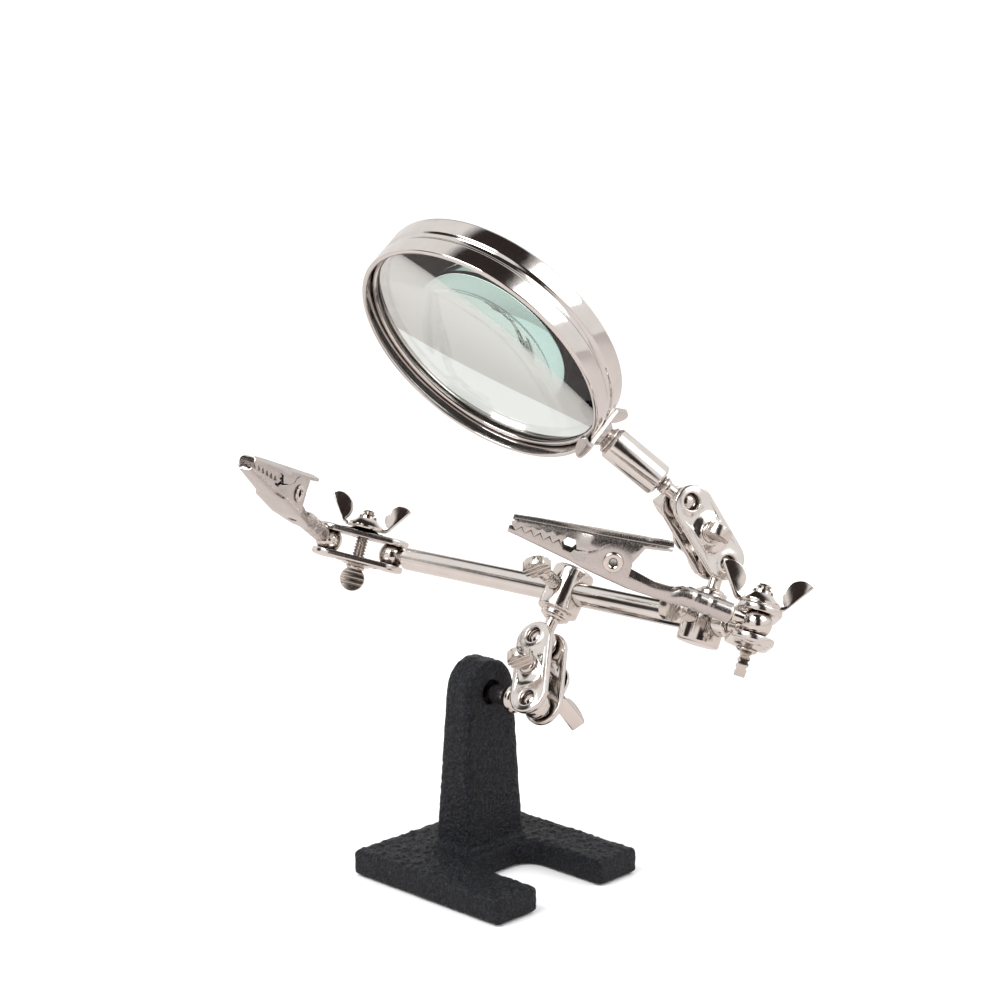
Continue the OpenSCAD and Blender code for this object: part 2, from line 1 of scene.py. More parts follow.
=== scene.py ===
"""Looks for the helping hands clamp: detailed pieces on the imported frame, in metres.

Every piece is drawn in millimetres in the local frame of its joint, where X runs outward along
the chain, and is then placed by the joints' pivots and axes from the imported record.
"""
import json
import math

import bmesh
import bpy
import numpy as np
from mathutils import Matrix, Vector, geometry, noise


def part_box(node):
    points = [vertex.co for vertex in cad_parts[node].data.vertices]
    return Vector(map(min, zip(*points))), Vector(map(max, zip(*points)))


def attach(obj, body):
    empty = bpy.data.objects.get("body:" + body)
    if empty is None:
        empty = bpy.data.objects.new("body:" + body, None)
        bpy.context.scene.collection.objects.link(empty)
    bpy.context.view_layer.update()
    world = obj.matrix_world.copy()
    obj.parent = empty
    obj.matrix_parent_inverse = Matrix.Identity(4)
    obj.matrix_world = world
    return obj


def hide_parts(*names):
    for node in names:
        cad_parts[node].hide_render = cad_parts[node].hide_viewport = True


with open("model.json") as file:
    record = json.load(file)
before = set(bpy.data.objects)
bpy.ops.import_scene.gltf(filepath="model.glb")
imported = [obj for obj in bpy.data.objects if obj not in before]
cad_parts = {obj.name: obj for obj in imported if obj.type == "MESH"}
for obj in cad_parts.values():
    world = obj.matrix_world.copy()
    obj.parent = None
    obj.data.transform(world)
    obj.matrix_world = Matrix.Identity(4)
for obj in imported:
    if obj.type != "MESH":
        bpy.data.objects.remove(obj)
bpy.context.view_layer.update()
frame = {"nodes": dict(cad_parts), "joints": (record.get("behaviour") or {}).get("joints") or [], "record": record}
MM = 0.001
TAU = 2 * math.pi

# ---- sizes, in millimetres; the driving ones are those of the part's source ----
BALL_R = 3.0
PITCH = 14.8
PLATE_L, PLATE_W, PLATE_T = 21.2, 8.7, 1.4
PLATE_IN = 2.2
PLATE_OUT = PLATE_IN + PLATE_T
HUMP = 0.8
HOLE_R = 1.7
SCREW_R = 1.5
THREAD_PITCH, THREAD_DEPTH = 0.7, 0.36
SCREW_TIP = 8.7
HEAD_R, HEAD_T = 2.75, 2.1
HEAD_X = PLATE_OUT + HUMP + 0.5
CLAMP_REACH = 12.1
BLOCK_R = 4.45
ROD_R = 2.5
CLAMP_HEAD = 11.5
JAW_PIVOT = (30.2, 1.9)
CLIP_L = 51.0
SHEET = 0.6
BAND_R, BAND_W, BAND_T = 28.0, 9.7, 0.6
LENS_R, LENS_BULGE, LENS_EDGE = 27.3, 3.0, 2.0
SLEEVE_R, SLEEVE_L, HANDLE_REACH = 3.5, 12.9, 6.4
SLEEVE_TO_LENS = 31.4


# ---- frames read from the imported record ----
JOINTS = {j["name"]: j for j in frame["joints"]}
BODY_OF = {n: b for b, nodes in frame["record"]["behaviour"]["bodies"].items() for n in nodes}


def pivot(joint):
    return Vector(JOINTS[joint]["pos_m"])


def axis(joint):
    return Vector(JOINTS[joint]["axis"])


def centre(node):
    low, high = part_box(node)
    return (low + high) / 2


def facing(direction, towards):
    """direction, or its opposite, whichever points the way of towards."""
    return direction if direction.dot(towards) > 0 else -direction


def local_frame(origin, x_dir, z_dir):
    """Frame at origin with X along x_dir and Z as near z_dir as it can be."""
    x = x_dir.normalized()
    y = z_dir.cross(x).normalized()
    basis = Matrix((x, y, x.cross(y))).transposed().to_4x4()
    return Matrix.Translation(origin) @ basis


def joint_frame(start, end, swing, nut):
    """Frame of a double-ball joint: X from ball to ball, Z on the wing nut's side."""
    middle = (start + end) / 2
    return local_frame(start, end - start, facing(axis(swing), centre(nut) - middle))


def clip_frame(side):
    start = pivot(side + "_clip_swing")
    x = facing(axis(side + "_clip_roll"), centre(side + "_clip_upper_jaw") - start)
    up = axis(side + "_jaw_open").cross(x)
    over = centre(side + "_clip_upper_jaw") - centre(side + "_clip_lower_jaw")
    return local_frame(start, x, facing(up, over))


def turn(angle, letter="Z"):
    return Matrix.Rotation(math.radians(angle), 4, letter)


def shift(x=0.0, y=0.0, z=0.0):
    """A move in the millimetres of a local frame."""
    return Matrix.Translation((x * MM, y * MM, z * MM))


POST_BALL = pivot("post_stud_turn")
CENTRE_BALL = pivot("centre_stud_swing")
CENTRE_ROD = pivot("centre_clamp_turn")
MAG_ROD = pivot("magnifier_clamp_turn")
MAG_BALL = pivot("magnifier_stud_turn")
HANDLE_BALL = pivot("lens_turn")
LEFT_BALL, RIGHT_BALL = pivot("left_joint_turn"), pivot("right_joint_turn")
ROD_DIR = (RIGHT_BALL - LEFT_BALL).normalized()


def disc_normal(node):
    """The direction in which a disc-shaped node is thinnest, pointing down."""
    points = np.array([vertex.co for vertex in frame["nodes"][node].data.vertices])
    _, directions = np.linalg.eigh(np.cov(points.T))
    return facing(Vector(directions[:, 0]), Vector((0, 0, -1)))


LOWER = joint_frame(POST_BALL, CENTRE_BALL, "lower_joint_swing", "lower_wing_nut")
LEFT = joint_frame(LEFT_BALL, pivot("left_clip_swing"), "left_joint_swing", "left_wing_nut")
RIGHT = joint_frame(RIGHT_BALL, pivot("right_clip_swing"), "right_joint_swing",
                    "right_wing_nut")
MAGNIFIER = joint_frame(MAG_BALL, HANDLE_BALL, "magnifier_joint_swing", "magnifier_wing_nut")
LENS_CENTRE = centre("magnifier_lens")
LENS = local_frame(LENS_CENTRE, LENS_CENTRE - HANDLE_BALL, disc_normal("magnifier_lens"))
HANDLE = local_frame(HANDLE_BALL, LENS_CENTRE - HANDLE_BALL, disc_normal("magnifier_lens"))
CLAMPS = {
    "centre": local_frame(CENTRE_ROD, CENTRE_BALL - CENTRE_ROD,
                          CENTRE_ROD - centre("centre_clamp_screw")),
    "magnifier": local_frame(MAG_ROD, MAG_BALL - MAG_ROD,
                             MAG_ROD - centre("magnifier_clamp_screw")),
}


# ---- mesh helpers: all return a bpy mesh in millimetres ----
def new_mesh(verts, faces):
    mesh = bpy.data.meshes.new("work")
    mesh.from_pydata([tuple(v) for v in verts], [], faces)
    mesh.update()
    return mesh


def closed_up(mesh):
    """Joins doubled points, fills open ends and turns every face outward."""
    work = bmesh.new()
    work.from_mesh(mesh)
    bmesh.ops.remove_doubles(work, verts=work.verts, dist=1e-5)
    bmesh.ops.holes_fill(work, edges=[e for e in work.edges if e.is_boundary], sides=0)
    bmesh.ops.recalc_face_normals(work, faces=work.faces)
    bmesh.ops.delete(work, geom=[v for v in work.verts if not v.link_faces], context="VERTS")
    work.to_mesh(mesh)
    work.free()
    return mesh


def moved(mesh, matrix):
    """mesh moved by matrix, whose translation is in millimetres."""
    mesh.transform(matrix)
    if matrix.to_3x3().determinant() < 0:
        mesh.flip_normals()
    return mesh


def at(x=0.0, y=0.0, z=0.0):
    return Matrix.Translation((x, y, z))


def softened(points, radius, steps=3, closed=False):
    """The outline with each corner replaced by an arc of about that radius."""
    out = []
    count = len(points)
    for i, point in enumerate(points):
        if not closed and i in (0, count - 1):
            out.append(tuple(point))
            continue
        here = Vector(point)
        before, after = Vector(points[i - 1]), Vector(points[(i + 1) % count])
        size = min(radius, (before - here).length * 0.45, (after - here).length * 0.45)
        if size < 1e-4:
            out.append(tuple(point))
            continue
        start = here + (before - here).normalized() * size
        end = here + (after - here).normalized() * size
        for k in range(steps + 1):
            t = k / steps
            out.append(tuple(start * (1 - t) ** 2 + here * 2 * t * (1 - t) + end * t * t))
    return out


def lathe(profile, segments=64, wall=None):
    """Revolves (x, r) points about X. wall gives r a factor that depends on angle and x."""
    verts, rings = [], []
    for x, r in profile:
        if r < 1e-6:
            rings.append([len(verts)])
            verts.append((x, 0, 0))
            continue
        ring = []
        for k in range(segments):
            a = TAU * k / segments
            rr = r * (wall(a, x) if wall else 1)
            ring.append(len(verts))
            verts.append((x, rr * math.cos(a), rr * math.sin(a)))
        rings.append(ring)
    faces = []
    for one, two in zip(rings, rings[1:]):
        if len(one) == 1 and len(two) == 1:
            continue
        for k in range(segments):
            n = (k + 1) % segments
            if len(one) == 1:
                faces.append((one[0], two[n], two[k]))
            elif len(two) == 1:
                faces.append((one[k], one[n], two[0]))
            else:
                faces.append((one[k], one[n], two[n], two[k]))
    return closed_up(new_mesh(verts, faces))


def prism(outline, low, high):
    """Extrudes an (x, y) outline along Z."""
    count = len(outline)
    verts = [(x, y, low) for x, y in outline] + [(x, y, high) for x, y in outline]
    faces = [(k, (k + 1) % count, (k + 1) % count + count, k + count) for k in range(count)]
    faces += [tuple(reversed(range(count))), tuple(range(count, 2 * count))]
    return closed_up(new_mesh(verts, faces))


def upright(outline, half):
    """Extrudes an (x, z) outline across Y, from -half to half."""
    return moved(prism(outline, -half, half), turn(90, "X"))


def arc(cx, cy, radius, start, end, steps=16):
    return [(cx + radius * math.cos(math.radians(start + (end - start) * k / steps)),
             cy + radius * math.sin(math.radians(start + (end - start) * k / steps)))
            for k in range(steps + 1)]


def rod_mesh(radius, low, high, segments=48):
    return lathe([(low, 0), (low, radius), (high, radius), (high, 0)], segments)


def grid_mesh(rows, closed=False):
    """A sheet through rows of points. closed joins each row's ends."""
    verts = [p for row in rows for p in row]
    width = len(rows[0])
    last = width if closed else width - 1
    faces = []
    for i in range(len(rows) - 1):
        for k in range(last):
            n = (k + 1) % width
            faces.append((i * width + k, i * width + n, (i + 1) * width + n,
                          (i + 1) * width + k))
    return new_mesh(verts, faces)


def tube(path, radius):
    """A round wire along a path of points, with closed ends."""
    segments = 12
    rows = []
    side = None
    for i, point in enumerate(path):
        here = Vector(point)
        before, after = Vector(path[max(i - 1, 0)]), Vector(path[min(i + 1, len(path) - 1)])
        along = (after - before).normalized()
        side = side or along.orthogonal()
        side = (side - along * side.dot(along)).normalized()
        up = along.cross(side)
        rows.append([here + (side * math.cos(TAU * k / segments)
                             + up * math.sin(TAU * k / segments)) * radius
                     for k in range(segments)])
    return closed_up(grid_mesh(rows, closed=True))


def joined(*meshes):
    """One mesh of several."""
    work = bmesh.new()
    for mesh in meshes:
        work.from_mesh(mesh)
    result = bpy.data.meshes.new("work")
    work.to_mesh(result)
    work.free()
    return result


def shaped(mesh, *modifiers):
    """The mesh after a list of (type, settings) modifiers."""
    obj = bpy.data.objects.new("work", mesh)
    bpy.context.scene.collection.objects.link(obj)
    for kind, settings in modifiers:
        modifier = obj.modifiers.new(kind, kind)
        for name, value in settings.items():
            setattr(modifier, name, value)
    bpy.context.view_layer.update()
    done = obj.evaluated_get(bpy.context.evaluated_depsgraph_get())
    result = bpy.data.meshes.new_from_object(done)
    bpy.data.objects.remove(obj)
    return result


def carved(mesh, cuts=(), adds=(), bevel=0.0, segments=2):
    """Boolean cuts and joins, then a bevel along every sharp edge."""
    tools, steps = [], []
    for group, operation in ((adds, "UNION"), (cuts, "DIFFERENCE")):
        for tool_mesh in group:
            tool = bpy.data.objects.new("tool", tool_mesh)
            bpy.context.scene.collection.objects.link(tool)
            tools.append(tool)
            steps.append(("BOOLEAN", {"object": tool, "operation": operation,
                                      "solver": "EXACT"}))
    if bevel:
        steps.append(("BEVEL", {"width": bevel, "segments": segments,
                                "limit_method": "ANGLE", "angle_limit": math.radians(32),
                                "use_clamp_overlap": True, "miter_outer": "MITER_ARC"}))
    result = shaped(mesh, *steps)
    for tool in tools:
        bpy.data.objects.remove(tool)
    return result


def piece(node, mesh, matrix, look, smooth=34):
    """Places a copy of mesh as the visible piece that stands for a CAD node, under the
    node's name. Faces that meet at more than smooth degrees keep a sharp edge."""
    mesh = mesh.copy()
    mesh.transform(Matrix.Scale(MM, 4))
    own = mesh.attributes.new("own", "FLOAT_VECTOR", "POINT")
    own.data.foreach_set("vector", [c for vertex in mesh.vertices for c in vertex.co])
    mesh.transform(matrix)
    mesh.name = node
    mesh.materials.clear()
    mesh.materials.append(look)
    mesh.shade_smooth()
    mesh.set_sharp_from_angle(angle=math.radians(smooth))
    obj = bpy.data.objects.new(node, mesh)
    bpy.context.scene.collection.objects.link(obj)
    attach(obj, BODY_OF[node])
    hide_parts(node)


# ---- materials ----
def material(name):
    made = bpy.data.materials.new(name)
    made.use_nodes = True
    nodes = made.node_tree.nodes
    return made, nodes, made.node_tree.links, nodes["Principled BSDF"]


def own_coordinates(nodes):
    """A piece's own local coordinates, in metres, which piece() stores on its mesh."""
    stored = nodes.new("ShaderNodeAttribute")
    stored.attribute_name = "own"
    return stored.outputs["Vector"]


def noise_node(nodes, links, scale, detail=3.0, stretch=(1, 1, 1), rough=0.5):
    """Noise over the piece's own coordinates. scale counts features per metre."""
    mapping = nodes.new("ShaderNodeMapping")
    mapping.inputs["Scale"].default_value = stretch
    links.new(own_coordinates(nodes), mapping.inputs["Vector"])
    texture = nodes.new("ShaderNodeTexNoise")
    texture.inputs["Scale"].default_value = scale
    texture.inputs["Detail"].default_value = detail
    texture.inputs["Roughness"].default_value = rough
    links.new(mapping.outputs["Vector"], texture.inputs["Vector"])
    return texture


def ramp(nodes, links, source, low, high, start=0.3, end=0.7):
    """Maps a texture's value from start..end to low..high."""
    ranged = nodes.new("ShaderNodeMapRange")
    ranged.inputs["From Min"].default_value = start
    ranged.inputs["From Max"].default_value = end
    ranged.inputs["To Min"].default_value = low
    ranged.inputs["To Max"].default_value = high
    links.new(source, ranged.inputs["Value"])
    return ranged.outputs["Result"]


def bump(nodes, links, height, distance, strength=1.0, under=None):
    node = nodes.new("ShaderNodeBump")
    node.inputs["Distance"].default_value = distance
    node.inputs["Strength"].default_value = strength
    links.new(height, node.inputs["Height"])
    if under:
        links.new(under, node.inputs["Normal"])
    return node.outputs["Normal"]


def metal(name, colour, rough, crevice_shade_colour, ripple=0.00002, stretch=(1, 1, 1)):
    """Nickel plate: uneven gloss, a faint ripple, fine scratches, and painted shade that darkens crevices."""
    made, nodes, links, shader = material(name)
    cloud = noise_node(nodes, links, 260, 4)
    fine = noise_node(nodes, links, 2600, 3, stretch)
    wave = noise_node(nodes, links, 420, 2)
    # painted shade: where the occlusion node finds surfaces close by, the colour is darkened towards the given
    # shade colour for crevices
    occlusion_shade = nodes.new("ShaderNodeAmbientOcclusion")
    occlusion_shade.inputs["Distance"].default_value = 0.0016
    occlusion_shade.samples = 6
    painted_shade_mix = nodes.new("ShaderNodeMix")
    painted_shade_mix.data_type = "RGBA"
    painted_shade_mix.inputs["A"].default_value = (*crevice_shade_colour, 1)
    painted_shade_mix.inputs["B"].default_value = (*colour, 1)
    links.new(ramp(nodes, links, occlusion_shade.outputs["AO"], 0, 1, 0.15, 0.75),
              painted_shade_mix.inputs["Factor"])
    uneven = nodes.new("ShaderNodeMix")
    uneven.data_type = "RGBA"
    uneven.blend_type = "MULTIPLY"
    uneven.inputs["Factor"].default_value = 1
    links.new(painted_shade_mix.outputs["Result"], uneven.inputs["A"])
    shade = nodes.new("ShaderNodeCombineColor")
    for channel in ("Red", "Green", "Blue"):
        links.new(ramp(nodes, links, cloud.outputs["Fac"], 0.93, 1.0),
                  shade.inputs[channel])
    links.new(shade.outputs["Color"], uneven.inputs["B"])
    links.new(uneven.outputs["Result"], shader.inputs["Base Color"])
    links.new(ramp(nodes, links, fine.outputs["Fac"], rough * 0.75, rough * 1.35),
              shader.inputs["Roughness"])
    smooth = bump(nodes, links, wave.outputs["Fac"], ripple)
    links.new(bump(nodes, links, fine.outputs["Fac"], ripple * 0.012, under=smooth),
              shader.inputs["Normal"])
    shader.inputs["Metallic"].default_value = 1
    return made


def enamel(name):
    """Black crackle enamel on cast iron: wrinkles, pits and a broken gloss."""
    made, nodes, links, shader = material(name)
    warp = noise_node(nodes, links, 700, 3)
    cells = nodes.new("ShaderNodeTexVoronoi")
    cells.feature = "SMOOTH_F1"
    cells.inputs["Scale"].default_value = 1150
    cells.inputs["Smoothness"].default_value = 0.6
    mixed = nodes.new("ShaderNodeVectorMath")
    mixed.operation = "MULTIPLY_ADD"
    mixed.inputs[1].default_value = (0.0009, 0.0009, 0.0009)
    links.new(warp.outputs["Color"], mixed.inputs[0])
    links.new(own_coordinates(nodes), mixed.inputs[2])
    links.new(mixed.outputs["Vector"], cells.inputs["Vector"])
    speck = noise_node(nodes, links, 2200, 4, rough=0.65)
    grain = bump(nodes, links, cells.outputs["Distance"], 0.0003, 0.8)
    links.new(bump(nodes, links, speck.outputs["Fac"], 0.00045, 1.0, grain),
              shader.inputs["Normal"])
    tone = nodes.new("ShaderNodeMix")
    tone.data_type = "RGBA"
    tone.inputs["A"].default_value = (0.0015, 0.002, 0.0035, 1)
    tone.inputs["B"].default_value = (0.024, 0.029, 0.043, 1)
    links.new(ramp(nodes, links, speck.outputs["Fac"], 0, 1, 0.50, 0.64),
              tone.inputs["Factor"])
    links.new(tone.outputs["Result"], shader.inputs["Base Color"])
    links.new(ramp(nodes, links, speck.outputs["Fac"], 0.5, 0.22),
              shader.inputs["Roughness"])
    shader.inputs["Specular IOR Level"].default_value = 0.3
    return made


def glass(name):
    """Clear crown glass with a faint green body colour."""
    made, nodes, links, shader = material(name)
    shader.inputs["Base Color"].default_value = (0.97, 1.0, 0.99, 1)
    shader.inputs["Transmission Weight"].default_value = 1
    shader.inputs["IOR"].default_value = 1.52
    smear = noise_node(nodes, links, 90, 4)
    links.new(ramp(nodes, links, smear.outputs["Fac"], 0.0, 0.012, 0.45, 0.8),
              shader.inputs["Roughness"])
    body = nodes.new("ShaderNodeVolumeAbsorption")
    body.inputs["Color"].default_value = (0.42, 0.86, 0.78, 1)
    body.inputs["Density"].default_value = 14
    links.new(body.outputs["Volume"], nodes["Material Output"].inputs["Volume"])
    return made


# The last colour given to each metal is the painted shade for its crevices.
NICKEL = metal("nickel_turned", (0.78, 0.73, 0.69), 0.10, (0.14, 0.10, 0.08))
SHEET_METAL = metal("nickel_sheet", (0.63, 0.59, 0.57), 0.22, (0.15, 0.11, 0.09))
PLATE_METAL = metal("nickel_plate", (0.80, 0.76, 0.73), 0.14, (0.16, 0.12, 0.10), 0.00003)
ROD_METAL = metal("nickel_rod", (0.82, 0.79, 0.76), 0.12, (0.3, 0.25, 0.2),
                  stretch=(0.05, 1, 1))
BAND_METAL = metal("nickel_band", (0.78, 0.75, 0.73), 0.09, (0.18, 0.14, 0.12))
THREAD_METAL = metal("nickel_thread", (0.72, 0.67, 0.62), 0.16, (0.07, 0.045, 0.035))
SPRING_METAL = metal("spring_steel", (0.42, 0.40, 0.38), 0.3, (0.08, 0.07, 0.06))
ENAMEL = enamel("black_enamel")
GLASS = glass("lens_glass")


# ---- cast base ----
def base_mesh():
    """The foot and post as one casting, softened and roughened, inside the CAD's box."""
    low, high = (Vector(v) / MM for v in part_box("cast_base"))
    leg, foot, slot_end, fillet = 12.0, 5.6, -0.5, 4.0
    inner = high.x - leg
    outline = [(low.x, low.y), (low.x + leg, low.y), (-inner, slot_end - fillet)]
    outline += arc(-inner + fillet, slot_end - fillet, fillet, 180, 90, 8)[1:]
    outline += arc(inner - fillet, slot_end - fillet, fillet, 90, 0, 8)
    outline += [(inner, low.y), (high.x, low.y), (high.x, high.y), (low.x, high.y)]
    body = prism(outline, 0, foot)
    stud = POST_BALL / MM
    middle = 6.75
    recess_r, recess_depth, front = 2.5, 4, 0.6
    bottom_w, bottom_t, top_w, top_t = 17.5, 10.3, 14.4, 7.4
    arch = high.z - top_w / 2
    rows = []
    levels = [(2.0, bottom_w, bottom_t), (foot, bottom_w + 1.4, bottom_t + 1.2),
              (foot + 0.9, bottom_w, bottom_t)]
    levels += [(foot + (arch - foot) * t, bottom_w + (top_w - bottom_w) * t,
                bottom_t + (top_t - bottom_t) * t) for t in (0.3, 0.6, 0.9, 1.0)]
    for k in range(1, 10):
        a = math.radians(9.8 * k)
        levels.append((arch + top_w / 2 * math.sin(a), top_w * math.cos(a), top_t))
    for z, w, t in levels:
        corner = softened([(-w / 2, -t / 2), (w / 2, -t / 2), (w / 2, t / 2), (-w / 2, t / 2)],
                          1.5, closed=True)
        rows.append([(stud.x + px, middle + py, z) for px, py in corner])
    post = closed_up(grid_mesh(rows, closed=True))
    recess = moved(rod_mesh(recess_r, 0, recess_depth, 32),
                   at(stud.x, front, stud.z) @ turn(90))
    mesh = carved(carved(body, bevel=1.0, segments=3), adds=[post], cuts=[recess])
    mesh = shaped(mesh, ("REMESH", {"mode": "VOXEL", "voxel_size": 0.36}),
                  ("SMOOTH", {"factor": 0.5, "iterations": 5}))
    normals = [vertex.normal.copy() for vertex in mesh.vertices]
    places = []
    for vertex, normal in zip(mesh.vertices, normals):
        co = vertex.co.copy()
        coarse = 0.24 if normal.z > 0.7 else 0.10
        lump = noise.fractal(co * 0.75, 1.0, 2.0, 3) * coarse
        pit = noise.noise(co * 2.6) * 0.07
        flat = 0.0 if co.z < 0.05 else 1.0
        co += normal * (lump + pit - 0.06) * flat
        places += [min(max(co[i], low[i]), high[i]) for i in range(3)]
    mesh.vertices.foreach_set("co", places)
    mesh.update()
    return mesh


# ---- turned pieces ----
def ball_profile(neck):
    """A ball at the origin, up to where a neck of that radius leaves it."""
    end = math.degrees(math.asin(neck / BALL_R))
    points = arc(0, 0, BALL_R, 180, end)
    points[0] = (-BALL_R, 0)
    return points


def turned(points, radius=0.2):
    return lathe(softened(points, radius))


def stud_mesh(neck, points):
    """A ball with a turned shank that follows points."""
    return lathe(ball_profile(neck) + softened([(BALL_R, neck)] + points, 0.25))


def thread(radius, low, high):
    """A screw thread along X with a chamfered tip at high."""
    chamfer, samples_per_turn = 0.35, 8

    def groove(angle, x):
        u = (x / THREAD_PITCH - angle / TAU) % 1.0
        cut = min(max(1.7 * (1 - abs(2 * u - 1)) - 0.25, 0), 1)
        return 1 - THREAD_DEPTH / radius * cut

    count = int((high - low) / THREAD_PITCH * samples_per_turn)
    profile = [(low, 0), (low, radius)]
    profile += [(low + (high - chamfer - low) * k / count, radius)
                for k in range(1, count + 1)]
    profile += [(high, radius - chamfer), (high, 0)]
    return lathe(profile, 36, groove)


def post_stud_mesh():
    return stud_mesh(1.4, [(4.9, 1.4), (5.1, 2.5), (5.7, 3.1), (6.6, 3.1), (7.6, 2.2),
                           (8.2, 2.0), (12.6, 2.0), (12.6, 1.5), (18.4, 1.5), (18.4, 0)])


def clamp_stud_mesh():
    return stud_mesh(1.35, [(5.0, 1.35), (5.2, 1.5), (9.1, 1.5), (9.1, 0)])


def clip_stud_mesh():
    return stud_mesh(1.25, [(4.9, 1.25), (5.2, 1.5), (13.8, 1.5), (13.8, 0)])


def rod_ball_mesh():
    return stud_mesh(1.6, [(4.2, 1.6), (4.7, 1.5), (11.2, 1.5), (11.2, 0)])


def handle_stud_mesh():
    ball = stud_mesh(1.4, [(4.3, 1.4), (4.8, 1.75), (5.4, 1.75), (5.4, 0)])
    return joined(ball, thread(1.78, 5.0, 15.4))


def clamp_block_mesh():
    """Cross-bored cylinder with two stepped collars on its ball side."""
    body = softened([(-5.0, 0), (-5.0, BLOCK_R), (4.9, BLOCK_R), (4.9, 3.2), (6.1, 3.2),
                     (6.1, 2.6), (6.7, 2.3), (6.7, 0)], 0.75, 4)
    bore = moved(rod_mesh(ROD_R + 0.08, -BLOCK_R - 2, BLOCK_R + 2), turn(90))
    screw = moved(rod_mesh(SCREW_R + 0.12, -BLOCK_R - 2, 0), turn(-90, "Y"))
    return carved(lathe(body), cuts=[bore, screw], bevel=0.16)


# ---- screws and nuts, turned about X ----
def paddle_mesh(reach, wide=HEAD_R, thick=HEAD_T):
    """Flat oval head centred at x = -reach, with three grip grooves on each face."""
    oval = [(-reach + HEAD_R * math.cos(TAU * k / 40), wide * math.sin(TAU * k / 40))
            for k in range(40)]
    grooves = []
    for side in (-1, 1):
        for step in (-1, 0, 1):
            cut = moved(rod_mesh(0.34, -6, 6, 16), turn(90, "Y"))
            grooves.append(moved(cut, at(-reach + 0.15 + step * 1.25,
                                         side * (thick / 2 + 0.04), 0)))
    return carved(upright(oval, thick / 2), cuts=grooves, bevel=0.22, segments=3)


def thumb_screw_mesh():
    collar = turned([(-HEAD_X - 0.3, 0), (-HEAD_X - 0.3, 1.7), (-HEAD_X + 0.05, 2.1),
                     (-HEAD_X + 0.48, 2.1), (-HEAD_X + 0.48, 0)], 0.15)
    return joined(paddle_mesh(HEAD_X + 2.45), collar, thread(SCREW_R, -HEAD_X, SCREW_TIP))


def clamp_screw_mesh():
    neck = turned([(-CLAMP_HEAD + 1.6, 0), (-CLAMP_HEAD + 1.6, 1.15), (-CLAMP_HEAD + 2.6, 1.5),
                   (-CLAMP_HEAD + 3.7, 1.5), (-CLAMP_HEAD + 3.7, 0)], 0.3)
    return joined(paddle_mesh(CLAMP_HEAD, 3.1, 1.9), neck,
                  thread(SCREW_R, -CLAMP_HEAD + 2.4, -ROD_R - 0.05))


def wing_mesh():
    """One wing of the pressed nut: a bent strip with a half-round ear on each side."""
    lean, root, length, sheet, half = math.radians(35), 4.9, 7.6, 0.7, 1.6
    out = Vector((math.sin(lean), math.cos(lean)))
    inward = Vector((-math.cos(lean), math.sin(lean)))
    base = Vector((root, 0.0))
    tip = base + out * length
    crook = Vector((root - sheet * math.tan(math.pi / 4 - lean / 2), sheet))
    strip = [(1.6, 0), tuple(base), tuple(tip), tuple(tip + inward * sheet), tuple(crook),
             (1.6, sheet)]
    meshes = [carved(upright(softened(strip, 0.9, 4, closed=True), half), bevel=0.18)]
    radius = 3.3
    ear = [base + out * (length - 2 * radius - 0.5) + inward * 0.1]
    ear += [base + out * (length - radius + radius * math.cos(math.radians(a)))
            + inward * (0.15 + radius * math.sin(math.radians(a)))
            for a in range(172, -1, -12)]
    ear.append(tip + inward * 0.1)
    for side in (-1, 1):
        flank = carved(upright([tuple(p) for p in ear], 0.33), bevel=0.16)
        meshes.append(moved(flank, at(0, side * (half - 0.33), 0)))
    return joined(*meshes)


def wing_nut_mesh():
    """Pressed wing nut about Z, its foot at z = 0."""
    hub = [(0, 1.45), (0, 4.2), (0.3, 4.35), (0.75, 4.3), (1.1, 3.7), (1.6, 2.9), (2.1, 2.35),
           (2.35, 2.1), (2.95, 2.0), (2.95, 1.45), (0, 1.45)]
    core = moved(lathe(hub), turn(-90, "Y"))
    return joined(core, wing_mesh(), moved(wing_mesh(), turn(180)))


# ---- clamp plates ----
def stadium(inset):
    """The plate's outline, moved in by inset."""
    steps = 28
    radius = PLATE_W / 2 - inset
    reach = (PLATE_L - PLATE_W) / 2
    right = arc(PITCH / 2 + reach, 0, radius, -90, 90, steps)
    return right + arc(PITCH / 2 - reach, 0, radius, 90, 270, steps)


